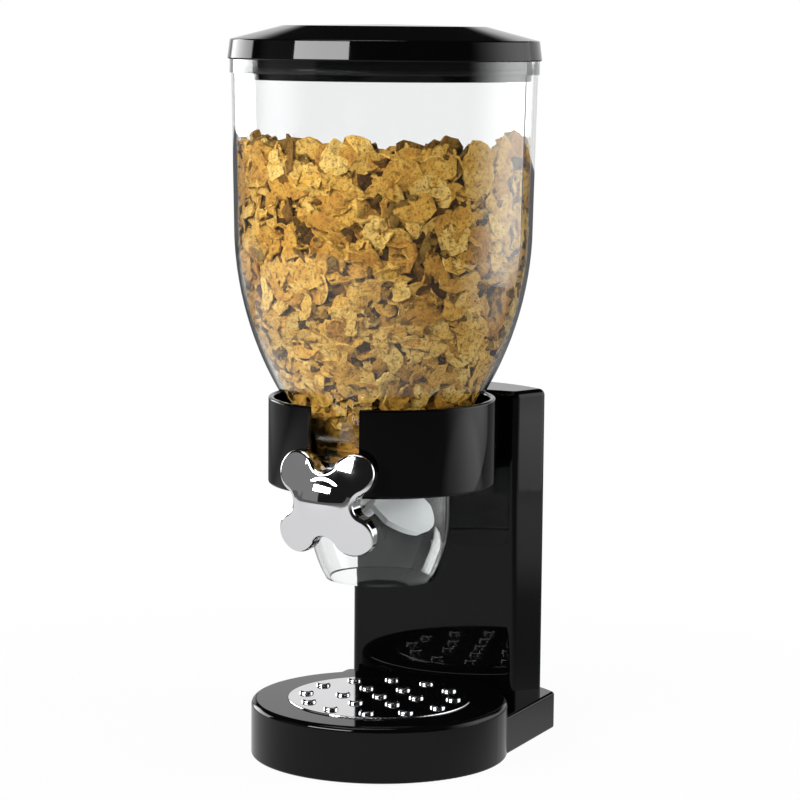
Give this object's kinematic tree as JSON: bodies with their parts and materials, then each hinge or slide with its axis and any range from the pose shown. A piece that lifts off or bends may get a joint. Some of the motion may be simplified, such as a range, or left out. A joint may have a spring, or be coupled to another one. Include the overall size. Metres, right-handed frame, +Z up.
{
  "type": "pet food dispenser",
  "caption": "Hand-turned dry pet food dispenser: clear lidded hopper in an open black collar on a column and round base, with a chrome lobed knob that turns a portioning paddle.",
  "frame": {"origin": "on the table, under the middle of the object's bounding box", "axes": "+Z up, -Y towards the user on the knob's side, +X to the user's right"},
  "size_m": [0.1666, 0.2019, 0.395],
  "materials": {
    "black_abs": "glossy black moulded plastic",
    "black_textured_plastic": "finely textured black moulded plastic",
    "zinc_steel": "bright zinc-plated steel",
    "black_rubber": "matte black rubber",
    "chrome": "mirror chrome plating",
    "clear_plastic": "clear polished moulded plastic",
    "white_acetal": "smooth white bearing plastic",
    "white_silicone": "soft translucent white silicone"
  },
  "bodies": {
    "stand": {"base_shell": "black_abs", "base_bottom_cover": "black_textured_plastic", "bottom_cover_screws": "zinc_steel", "rubber_foot_front_left": "black_rubber", "rubber_foot_front_right": "black_rubber", "rubber_foot_rear_left": "black_rubber", "rubber_foot_rear_right": "black_rubber", "column_shell": "black_abs", "column_rear_cover": "black_abs", "rear_cover_screws": "zinc_steel", "column_base_screws": "zinc_steel", "collar": "black_abs", "collar_screws": "zinc_steel"},
    "plate": {"stud_plate": "chrome"},
    "hopper": {"canister": "clear_plastic", "front_shaft_bush": "white_acetal", "rear_shaft_bush": "white_acetal"},
    "rotor": {"knob": "chrome", "knob_insert": "chrome", "drive_shaft": "zinc_steel", "paddle_hub": "white_acetal", "paddle_wheel": "white_silicone"},
    "lid": {"lid_cover": "black_abs", "lid_plug": "black_abs", "lid_seal": "black_rubber"}
  },
  "joints": [
    {"name": "hopper_lift", "type": "slide", "parent": "stand", "child": "hopper", "axis": [0, 0, 1], "range_m": [0, 0.12]},
    {"name": "lid_lift", "type": "slide", "parent": "hopper", "child": "lid", "axis": [0, 0, 1], "range_m": [0, 0.04]},
    {"name": "knob_turn", "type": "hinge", "parent": "hopper", "child": "rotor", "pos_m": [0, -0.0176, 0.1482], "axis": [0, -1, 0], "continuous": true},
    {"name": "plate_lift", "type": "slide", "parent": "stand", "child": "plate", "axis": [0, 0, 1], "range_m": [0, 0.03]}
  ]
}
